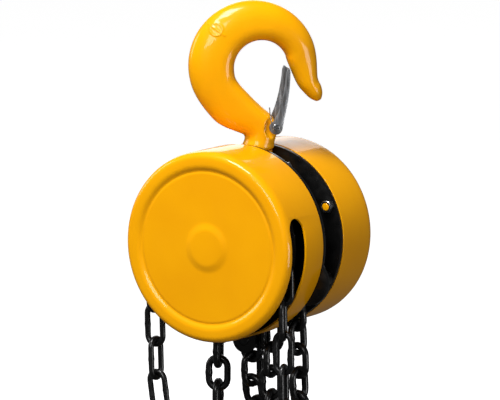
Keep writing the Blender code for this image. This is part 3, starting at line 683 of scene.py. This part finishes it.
def link_chain(name, route, links, link, closed=False, first_twist=0.0):
    """A chain's links as one mesh, and the route's length; the first link may be twisted."""
    reach = distances(route)
    known = known_links(route, reach, links)
    if closed:
        known.sort()
    bm = bmesh.new()
    for number, (distance, turn) in enumerate(link_places(reach, known, link["pitch"], closed)):
        start = point_along(route, reach, distance - link["pitch"] / 2, closed)
        end = point_along(route, reach, distance + link["pitch"] / 2, closed)
        twist = first_twist if number == 0 else 0.0
        add_link(bm, (start + end) / 2, (end - start).normalized(), turn, link, twist)
    return shade(object_of(name, bm), 60), reach[-1]


def wrapped(centre, radius, start, end, steps, y):
    """Route points round a sheave or a bight."""
    return [at(x, z, y) for x, z in arc(centre, radius, start, end, steps)]


def load_route():
    """Dead end, idler, load sheave, slack bight and slack end."""
    dead_x, dead_z = DEAD_END
    bight_x = (SLACK_X + SLACK_RUN_X) / 2
    bight_r = (SLACK_RUN_X - SLACK_X) / 2
    route = [at(dead_x, dead_z, LOADED_Y), at(dead_x, -0.130, LOADED_Y)]
    route += wrapped((IDLER_X, IDLER_Z), IDLER_R, 0, -180, 24, LOADED_Y)
    route += [at(-SHEAVE_R, -0.130, LOADED_Y), at(-SHEAVE_R, -0.050, -0.001)]
    route += wrapped((0, 0), SHEAVE_R, 180, 0, 24, 0.0)
    falling = [(0.0330, -0.0300, 0), (0.0385, -0.0600, 0), (0.0400, -0.0900, 0)]
    falling += [(SLACK_RUN_X, -0.1150, 0.001), (SLACK_RUN_X, -0.1350, 0.009)]
    route += [at(*place) for place in falling]
    route += wrapped((bight_x, BIGHT_Z), bight_r, 0, -180, 20, BIGHT_Y)
    rising = [(SLACK_X, -0.1350, 0.009), (SLACK_X, -0.1150, 0.001), (SLACK_X, SLACK_PIN_Z, 0)]
    return route + [at(*place) for place in rising]


def hand_route():
    """The endless hand chain, from the wheel's top round to the same place."""
    quarter = [math.pi / 2 * i / 16 for i in range(17)]
    down = [(HAND_R * math.sin(a), HAND_TOP * math.cos(a)) for a in quarter]
    up = [(-x, z) for x, z in reversed(down)]
    low = arc(HAND_LOW, HAND_R - 0.0005, -6, -174, 32)
    return [at(x, z, HAND_Y) for x, z in down + low + up]


def chains(look):
    """Both chains, as meshes of links along their routes."""
    route = load_route()
    chain, length = link_chain("load_chain_links", route, LOAD_LINKS, LOAD_LINK, first_twist=-90)
    finish(chain, look, "frame", "black_chain", "load_chain")
    route = hand_route()
    chain, length = link_chain("hand_chain_links", route, HAND_LINKS, HAND_LINK, closed=True)
    finish(chain, look, "frame", "black_chain", "hand_chain")


# ---------------------------------------------------------------- covers
def cover_profile(outer, rim, face, inward):
    """Half section of a deep-drawn cover, from the rim over the face's middle and back inside."""

    def skin(radius, depth, cut):
        return (radius, face + inward * depth, cut)

    outside = [(outer, rim, 0.0004), skin(outer, 0, 0.0085), skin(0.0600, 0, 0.0022)]
    outside += [skin(0.0568, 0.0020, 0.0012), skin(0.0550, FACE_DEPTH, 0.0007)]
    outside += [skin(0.0182, FACE_DEPTH, 0.0016), skin(0.0132, 0.0001, 0.0016), skin(0, 0, 0)]
    deep = COVER_WALL + FACE_DEPTH
    inside = [skin(0, deep, 0), skin(outer - COVER_WALL, deep, 0.006)]
    inside.append((outer - COVER_WALL, rim, 0.0004))
    return rounded(outside + inside, 7)


def slot_cutter(mirror):
    """A curved chain slot through the barrel, with a round upper end."""
    half = (SLOT_BACK - SLOT_FRONT) / 2
    middle = (SLOT_BACK + SLOT_FRONT) / 2
    start = SLOT_TOP_ANGLE - math.degrees(half / WHEEL_COVER_R)
    angles = [start + (SLOT_END_ANGLE - start) * i / 40 for i in range(41)]
    if mirror:
        angles = [180 - degrees for degrees in angles]
        start = 180 - start
    outline = [polar(0.075, a) for a in angles] + [polar(0.062, a) for a in reversed(angles)]
    run = sheet("slot_run", [outline], SLOT_FRONT, SLOT_BACK, at(0, 0))
    end = rod("slot_end", (0, 0, 0), half, -0.0065, 0.0065, 0, 64)
    x, z = polar(0.0685, start)
    turned = Matrix.Rotation(math.radians(90 - start), 4, "Y") @ Matrix.Rotation(math.pi / 2, 4, "X")
    end.data.transform(Matrix.Translation(at(x, z, middle)) @ turned)
    return run, end


def cover_studs(prefix, places, rim, inward, look):
    """Welded lugs just inside the rim, each with a stud through the side plate."""
    for number, place in enumerate(places, 1):
        centre = at(*polar(*place))
        low, high = sorted((rim + inward * FIT_GAP, rim + inward * 0.004))
        lug = rod(f"{prefix}_cover_stud_{number}", centre, LUG_R, low, high, 0.0006)
        low, high = sorted((rim + inward * 0.003, inward * STUD_TIP))
        stud = rod("stud", centre, STUD_R, low, high, 0.0007)
        finish(shade(combined(lug, "UNION", stud)), look, "frame", "yellow_paint")


def covers(look):
    """The two deep-drawn covers, the near one with its two chain slots."""
    rim = PLATE_OUT + FIT_GAP
    low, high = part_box("hand_wheel_cover")
    skin = cover_profile(WHEEL_COVER_R, -rim, low.y, 1)
    front = lathe("hand_wheel_cover_pressing", skin, 160)
    combined(front, "DIFFERENCE", *slot_cutter(False), *slot_cutter(True))
    shade(bevelled(front, 0.0004, 3, 50), 40)
    finish(front, look, "frame", "yellow_paint", "hand_wheel_cover")
    cover_studs("wheel", WHEEL_STUD_PLACES, -rim, -1, look)
    low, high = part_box("gear_cover")
    back = lathe("gear_cover_pressing", cover_profile(GEAR_COVER_R, rim, high.y, -1), 160)
    finish(shade(back, 40), look, "frame", "yellow_paint", "gear_cover")
    cover_studs("gear", GEAR_STUD_PLACES, rim, 1, look)


def nut(name, centre, y0, y1, flats, bore):
    """A hexagon nut along Y with chamfered corners."""
    outlines = [circle(flats / math.sqrt(3), 6), circle(bore, 32)]
    body = sheet(name, outlines, y0, y1, centre)
    corner = flats / math.sqrt(3) + 0.0001
    face = flats / 2 * 0.96
    chamfer = (corner - face) * 0.6
    profile = [(0, y1), (face, y1), (corner, y1 - chamfer), (corner, y0 + chamfer)]
    profile += [(face, y0), (0, y0)]
    barrel = lathe("barrel", profile, 64, Vector((centre[0], 0, centre[2])))
    return shade(bevelled(combined(body, "INTERSECT", barrel), 0.00015, 2, 20), 25)


def cover_nuts(look):
    """A nut on each cover stud."""
    for prefix, places in (("gear", GEAR_STUD_PLACES), ("wheel", WHEEL_STUD_PLACES)):
        for number, place in enumerate(places, 1):
            node = f"{prefix}_cover_nut_{number}"
            low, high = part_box(node)
            made = nut(node + "_hex", at(*polar(*place)), low.y, high.y, NUT_FLATS, NUT_BORE_R)
            finish(made, look, "frame", "zinc_plate", node)


# ---------------------------------------------------------------- frame
def lobed_outline(radius):
    """A round edge with the lobe at its lower right."""
    lobe_x, lobe_z, lobe_r = LOBE
    reach = math.hypot(lobe_x, lobe_z)
    direction = math.degrees(math.atan2(lobe_z, lobe_x))
    along = (reach**2 + radius**2 - lobe_r**2) / (2 * reach)
    spread = math.degrees(math.acos(along / radius))
    crossing = math.degrees(math.acos((reach - along) / -lobe_r))
    round_edge = arc((0, 0), radius, direction + spread, direction + 360 - spread, 120)
    lobe_edge = arc((lobe_x, lobe_z), lobe_r, direction - crossing, direction + crossing, 24)
    return round_edge + lobe_edge[1:-1]


def side_plates(look):
    """The two black plates, drilled for the bolts, pins, shafts and studs."""
    centres = []
    for node in STAY_BOLTS:
        low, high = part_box(node)
        centres.append(((low.x + high.x) / 2 - SHAFT_X, (low.z + high.z) / 2 - SHAFT_Z))
    holes = [circle(BEARING_HOLE_R)]
    holes.append(circle(TRUNNION_BORE_R, 40, (-SHAFT_X, HOOK_PIN_Z - SHAFT_Z)))
    holes += [circle(BOLT_HOLE_R, 24, centre) for centre in centres]
    holes.append(circle(PIN_HOLE_R, 24, DEAD_END))
    gear_holes = [circle(GEAR_HOLE_R, 32, polar(GEAR_CENTRES, a)) for a in DISC_GEAR_ANGLES]
    gear_holes += [circle(BOLT_HOLE_R, 24, polar(POST_R, a)) for a in POST_ANGLES]
    gear_holes += [circle(BOLT_HOLE_R, 24, polar(*place)) for place in GEAR_STUD_PLACES]
    wheel_holes = [circle(PIN_HOLE_R, 24, polar(POST_R, a)) for a in PAWL_ANGLES]
    wheel_holes += [circle(BOLT_HOLE_R, 24, polar(*place)) for place in WHEEL_STUD_PLACES]
    drilled = (
        ("wheel_side_plate", [lobed_outline(WHEEL_PLATE_R)] + wheel_holes),
        ("gear_side_plate", [circle(GEAR_PLATE_R, 160)] + gear_holes),
    )
    for node, outlines in drilled:
        low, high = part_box(node)
        made = sheet(node + "_steel", outlines + holes, low.y, high.y, at(0, 0), 0.00035)
        finish(shade(made), look, "frame", "black_steel", node)
    for node, centre in zip(STAY_BOLTS, centres):
        body = rod(node + "_turned", at(*centre), STAY_R, FIT_GAP - PLATE_IN, PLATE_IN - FIT_GAP)
        end = rod("end", at(*centre), STAY_END_R, -STAY_TIP, STAY_TIP)
        finish(shade(combined(body, "UNION", end)), look, "frame", "black_steel", node)


def slack_anchor(look, pin_look):
    """The two plates and the pin that hold the slack end of the load chain."""
    drop = SLACK_PIN_Z - ANCHOR_BOLT[1]
    outer = arc((0, 0), ANCHOR_TOP_R, 20, 160, 20) + arc((0, drop), ANCHOR_LOW_R, 190, 350, 36)
    outlines = [outer, circle(0.0058, 32), circle(PIN_HOLE_R, 32, (0, drop))]
    for node in ("anchor_plate_front", "anchor_plate_rear"):
        low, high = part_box(node)
        made = sheet(node + "_cut", outlines, low.y, high.y, at(*ANCHOR_BOLT), 0.0003)
        finish(shade(made), look, "frame", "black_steel", node)
    low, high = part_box("slack_end_pin")
    pin = rod("slack_end_pin_turned", at(SLACK_X, SLACK_PIN_Z), 0.004, low.y, high.y, 0.0008)
    finish(shade(pin), pin_look, "frame", "black_steel", "slack_end_pin")


def hook_block(look, steel):
    """The block's two pear-shaped plates and the idler's axle with its nuts."""
    outline = arc((0, 0), BLOCK_TOP_R, -18, 198, 80)
    outline += arc((0, BLOCK_DROP), BLOCK_LOW_R, 205, 335, 36)
    outlines = [outline, circle(TRUNNION_BORE_R, 40), circle(TRUNNION_BORE_R, 40, (0, BLOCK_DROP))]
    for node in ("block_plate_front", "block_plate_rear"):
        low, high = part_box(node)
        made = sheet(node + "_cut", outlines, low.y, high.y, at(IDLER_X, IDLER_Z), 0.0006)
        finish(shade(made), look, "frame", "yellow_paint", node)
    centre = at(IDLER_X, IDLER_Z)
    low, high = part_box("idler_axle")
    axle = rod("idler_axle_turned", centre, AXLE_R, low.y + 0.002, high.y - 0.002)
    head = nut("head", centre, low.y, low.y + AXLE_NUT_HIGH, AXLE_FLATS, 0.003)
    end = nut("end", centre, high.y - AXLE_NUT_HIGH, high.y, AXLE_FLATS, 0.003)
    axle = shade(combined(axle, "UNION", head, end), 25)
    finish(axle, steel, "frame", "bright_steel", "idler_axle")


# ---------------------------------------------------------------- hooks
def bowl_station(theta):
    """Middle, half width and half thickness of the hook's section at an angle round the bowl."""
    dx, dz = polar(1, theta)
    off_x, off_z = BOWL_CENTRE[0] - BACK_CENTRE[0], BOWL_CENTRE[1] - BACK_CENTRE[1]
    along = off_x * dx + off_z * dz
    reach = -along + math.sqrt(along**2 - off_x**2 - off_z**2 + BACK_R**2)
    middle = (reach + BOWL_R) / 2
    thick = 0.0088 + 0.0034 * math.sin(math.radians(min(theta, 90)))
    place = (BOWL_CENTRE[0] + middle * dx, BOWL_CENTRE[1] + middle * dz)
    return (*place, (reach - BOWL_R) / 2, thick, theta + 180)


def hook_stations():
    """(x, z, half width, half thickness, direction to the inside in degrees) from tip to collar."""
    nose = [
        (0.0452, -0.0454, 0.0020, 0.0024, 205),
        (0.0433, -0.0420, 0.0050, 0.0058, 204),
        (0.0404, -0.0370, 0.0069, 0.0074, 202),
        (0.0364, -0.0305, 0.0081, 0.0083, 195),
    ]
    bowl = [bowl_station(9 + 18 * i) for i in range(12)]
    shank = [
        (-0.0205, -0.0492, 0.0163, 0.0121, 391),
        (-0.0126, -0.0561, 0.0160, 0.0120, 387),
        (-0.0037, -0.0618, 0.0146, 0.0118, 383),
        (0.0013, -0.0673, 0.0127, 0.0116, 373),
        (0.0012, -0.0730, 0.0116, 0.0112, 363),
        (0.0000, -0.0765, 0.0116, 0.0115, 360),
        (0.0000, COLLAR_Z + 0.0016, 0.0116, 0.0116, 360),
        (0.0000, COLLAR_Z, 0.0098, 0.0098, 360),
    ]
    return nose + bowl + shank


def blended(stations, steps):
    """Catmull-Rom between stations."""
    made = []
    last = len(stations) - 1
    for i in range(last):
        four = [stations[max(0, min(last, i + k))] for k in (-1, 0, 1, 2)]
        for step in range(steps):
            t = step / steps
            weights = (
                -0.5 * t + t * t - 0.5 * t**3,
                1 - 2.5 * t * t + 1.5 * t**3,
                0.5 * t + 2 * t * t - 1.5 * t**3,
                -0.5 * t * t + 0.5 * t**3,
            )
            made.append(tuple(sum(w * v[k] for w, v in zip(weights, four)) for k in range(5)))
    return made + [stations[-1]]


def hook_ring(station, sides=48):
    """One section: a soft oval, fuller towards the inside of the bowl."""
    x, z, half, thick, direction = station
    inward = polar(1, direction)
    oval = min(1.0, max(0.0, (half - thick) / 0.002))
    belly = 0.22 * oval
    square = 1 - 0.17 * oval
    points = []
    for i in range(sides):
        cosine, sine = polar(1, 360 * i / sides)
        across = half * math.copysign(abs(cosine) ** square, cosine)
        up = thick * math.copysign(abs(sine) ** square, sine) * (1 + belly * cosine)
        points.append((x + across * inward[0], -up, z + across * inward[1]))
    return points


def in_frame(obj, place):
    """Moves a hook part from the hook's own axes into the world."""
    obj.data.transform(place)
    return obj


def forged_hook(name):
    """The hook in its own axes: lofted, with the latch boss, remeshed so that edges run soft."""
    body = loft(name, [hook_ring(station) for station in blended(hook_stations(), 6)])
    boss_at = (LATCH_BOSS[0], 0, LATCH_BOSS[1])
    boss = rod("boss", boss_at, LATCH_BOSS_R, -LATCH_FLAT_Y, LATCH_FLAT_Y, 0.001)
    flat_at = (LATCH_PIVOT[0], 0, LATCH_PIVOT[1])
    flats = [
        rod("flat", flat_at, LATCH_FLAT_R, *sorted((side * LATCH_FLAT_Y, side * 0.02)))
        for side in (-1, 1)
    ]
    combined(body, "UNION", boss)
    combined(body, "DIFFERENCE", *flats)
    remesh = body.modifiers.new("remesh", "REMESH")
    remesh.mode = "VOXEL"
    remesh.voxel_size = 0.0007
    soften = body.modifiers.new("soften", "SMOOTH")
    soften.factor = 0.5
    soften.iterations = 6
    baked(body)
    raise_mark(body)
    body.data.shade_smooth()
    return body


def raise_mark(body):
    """A plain forging mark, hardly raised: a small ring with a bar through it."""
    centre = Vector(MARK_CENTRE)
    for vertex in body.data.vertices:
        offset = Vector((vertex.co.x, vertex.co.z)) - centre
        if vertex.co.y > -0.002 or offset.length > 0.010:
            continue
        ring = abs(offset.length - MARK_R)
        across_bar = abs(offset.x * 0.6 + offset.y * 0.8)
        along_bar = abs(offset.y * 0.6 - offset.x * 0.8)
        near = min(ring, max(across_bar, along_bar - MARK_BAR))
        vertex.co.y -= MARK_HIGH * max(0.0, 1 - (near / MARK_HALF_WIDTH) ** 2)


def shank(name, place):
    """The turned stem below the collar, which passes through the crosshead to its nut."""
    corners = [(0, COLLAR_Z + 0.003, 0), (SHANK_R, COLLAR_Z + 0.003, 0)]
    corners += [(SHANK_R, SHANK_END, 0.0008), (0, SHANK_END, 0)]
    return shade(in_frame(lathe(name, rounded(corners), 48, Vector((0, 0, 0)), "Z"), place))


def latch_plate(name):
    """Pressed channel: a web across the throat and two flanges that straddle the hook."""
    px, pz = LATCH_PIVOT
    back = [(0.0166, pz), (0.0177, -0.0580), (0.0194, -0.0500), (0.0207, -0.0430)]
    back += [(0.0216, -0.0350), (0.0221, -0.0280), (0.0222, -0.0225)]
    front = [(0.0214, -0.0202), (0.0202, -0.0202), (0.0193, -0.0225), (0.0183, -0.0310)]
    front += [(0.0169, -0.0390), (0.0152, -0.0460), (0.0129, -0.0530), (0.0102, -0.0590)]
    ear = arc((px, pz), LATCH_EAR_R, 135, 335, 28)
    inside = [(0.0300, -0.0720), (0.0300, -0.0595), (0.0160, -0.0595)]
    inside += [(x - LATCH_WALL, z) for x, z in back[1:-1]] + [(0.0205, -0.0150)]
    inside += [(0.0050, -0.0150), (0.0000, -0.0550), (0.0000, -0.0720)]
    origin = Vector((0, 0, 0))
    outlines = [back + front + ear, circle(0.0023, 32, LATCH_PIVOT)]
    body = sheet(name, outlines, -LATCH_HALF, LATCH_HALF, origin)
    inner = LATCH_HALF - LATCH_WALL
    combined(body, "DIFFERENCE", sheet("hollow", [inside], -inner, inner, origin))
    return shade(bevelled(body, 0.0003), 30)


def latch_spring(name):
    """A turn and a half of wire about the latch pin, with one leg that rests on the hook."""
    px, pz = LATCH_PIVOT
    points = [Vector((0.0068, -0.0081, -0.0490)), Vector((0.0080, -0.0081, -0.0590))]
    for i in range(31):
        x, z = polar(SPRING_R, 150 - 18 * i)
        points.append(Vector((px + x, -0.0079 + 0.0011 * i / 20, pz + z)))
    return wire(name, points, SPRING_WIRE_R)


def hook_set(prefix, place, look, plate_look, pin_look, steel):
    """A hook with its shank, nut, latch, pin and spring."""
    body = in_frame(forged_hook(f"{prefix}_hook_forging"), place)
    finish(body, look, f"{prefix}_hook", "yellow_paint", f"{prefix}_hook")
    stem = shank(f"{prefix}_hook_shank", place)
    finish(stem, look, f"{prefix}_hook", "yellow_paint")
    plate = in_frame(latch_plate(f"{prefix}_latch_pressing"), place)
    finish(plate, plate_look, f"{prefix}_latch", "zinc_plate", f"{prefix}_latch")
    pin_at = (LATCH_PIVOT[0], 0, LATCH_PIVOT[1])
    pin = rod(f"{prefix}_latch_rivet", pin_at, RIVET_R, -LATCH_HALF, LATCH_HALF)
    tip = LATCH_HALF + RIVET_HEAD_HIGH
    heads = [
        rod("head", pin_at, RIVET_HEAD_R, *sorted((side * LATCH_HALF, side * tip)))
        for side in (-1, 1)
    ]
    pin = shade(in_frame(combined(pin, "UNION", *heads), place))
    finish(pin, pin_look, f"{prefix}_hook", "zinc_plate", f"{prefix}_latch_pin")
    spring = in_frame(latch_spring(f"{prefix}_latch_spring_wire"), place)
    finish(spring, pin_look, f"{prefix}_hook", "zinc_plate", f"{prefix}_latch_spring")
    corners = [(TRUNNION_BORE_R, HOOK_NUT_TOP, 0.0003), (HOOK_NUT_R, HOOK_NUT_TOP, 0.0004)]
    corners += [(HOOK_NUT_R, HOOK_NUT_LOW, 0.0004), (TRUNNION_BORE_R, HOOK_NUT_LOW, 0.0003)]
    ring = lathe(f"{prefix}_hook_nut_turned", rounded(corners), 48, Vector((0, 0, 0)), "Z")
    ring = shade(in_frame(ring, place))
    finish(ring, steel, f"{prefix}_hook", "bright_steel", f"{prefix}_hook_nut")


def crosshead(node, place, look, body, slot):
    """The swivel block: bored for the shank, with a trunnion in each plate."""
    z = HOOK_PIN_Z
    bm = bmesh.new()
    size = Matrix.Diagonal((*CROSSHEAD_SIZE, 1))
    bmesh.ops.create_cube(bm, size=1, matrix=Matrix.Translation((0, 0, z - 0.0005)) @ size)
    block = bevelled(object_of(node + "_forging", bm), 0.0012, 4)
    origin = Vector((0, 0, z))
    boss_corners = [(0, 0.012, 0), (0.0102, 0.012, 0.0005), (0.0102, 0.005, 0), (0, 0.005, 0)]
    boss = lathe("boss", rounded(boss_corners), 64, origin, "Z")
    trunnion = rod("trunnion", (0, 0, z), TRUNNION_R, FIT_GAP - PLATE_OUT, PLATE_OUT - FIT_GAP)
    bore_corners = [(0, 0.02), (TRUNNION_BORE_R, 0.02), (TRUNNION_BORE_R, -0.02), (0, -0.02)]
    bore = lathe("bore", bore_corners, 64, origin, "Z")
    combined(block, "UNION", boss, trunnion)
    combined(block, "DIFFERENCE", bore)
    finish(shade(in_frame(block, place)), look, body, slot, node)


# ---------------------------------------------------------------- what stays from the CAD
def refinish(looks):
    """Every CAD node that still shows gets its slot's procedural material."""
    smooth_below = math.radians(32)
    slots = {part["node"]: part["material_slot"] for part in frame["record"]["subparts"]}
    for name, node in frame["nodes"].items():
        if node.hide_render:
            continue
        look = looks[slots[name]]
        if not node.data.materials:
            node.data.materials.append(look)
        for index in range(len(node.data.materials)):
            node.data.materials[index] = look
        node.data.shade_smooth()
        node.data.set_sharp_from_angle(angle=smooth_below)


# ---------------------------------------------------------------- making
add_camera()
chain_look = chain_black("chain_black", 260)
chains(chain_look)

enamel = yellow_enamel("yellow_enamel", 0.00003)
forged_enamel = yellow_enamel("forged_yellow_enamel", 0.00012)
black = black_paint()
zinc = galvanised()
fastener = zinc_fastener()
steel = machined("machined_steel", (0.30, 0.30, 0.31), 0.3)
# Near-black steel: its own dark tone on the slack pin, and painted shade on the bright-steel parts inside the
# covers and between the plates, so the slots and gap read dark
dark_steel = machined("greased_and_shade_dark_steel", (0.06, 0.06, 0.062), 0.35)

covers(enamel)
cover_nuts(fastener)
side_plates(black)
slack_anchor(black, dark_steel)
hook_block(enamel, steel)
hook_set("top", TOP_FRAME, forged_enamel, zinc, fastener, steel)
hook_set("bottom", BOTTOM_FRAME, forged_enamel, zinc, fastener, steel)
crosshead("top_crosshead", Matrix.Identity(4), enamel, "crosshead", "yellow_paint")
crosshead("block_crosshead", BOTTOM_FRAME, black, "block_crosshead", "black_steel")
refinish({
    "yellow_paint": enamel,
    "black_steel": black,
    "black_chain": chain_look,
    # the bright-steel parts inside take the near-black steel as painted shade for the slots and the plate gap
    "bright_steel": dark_steel,
    "zinc_plate": fastener,
    "friction_lining": friction_lining(),
})
studio()
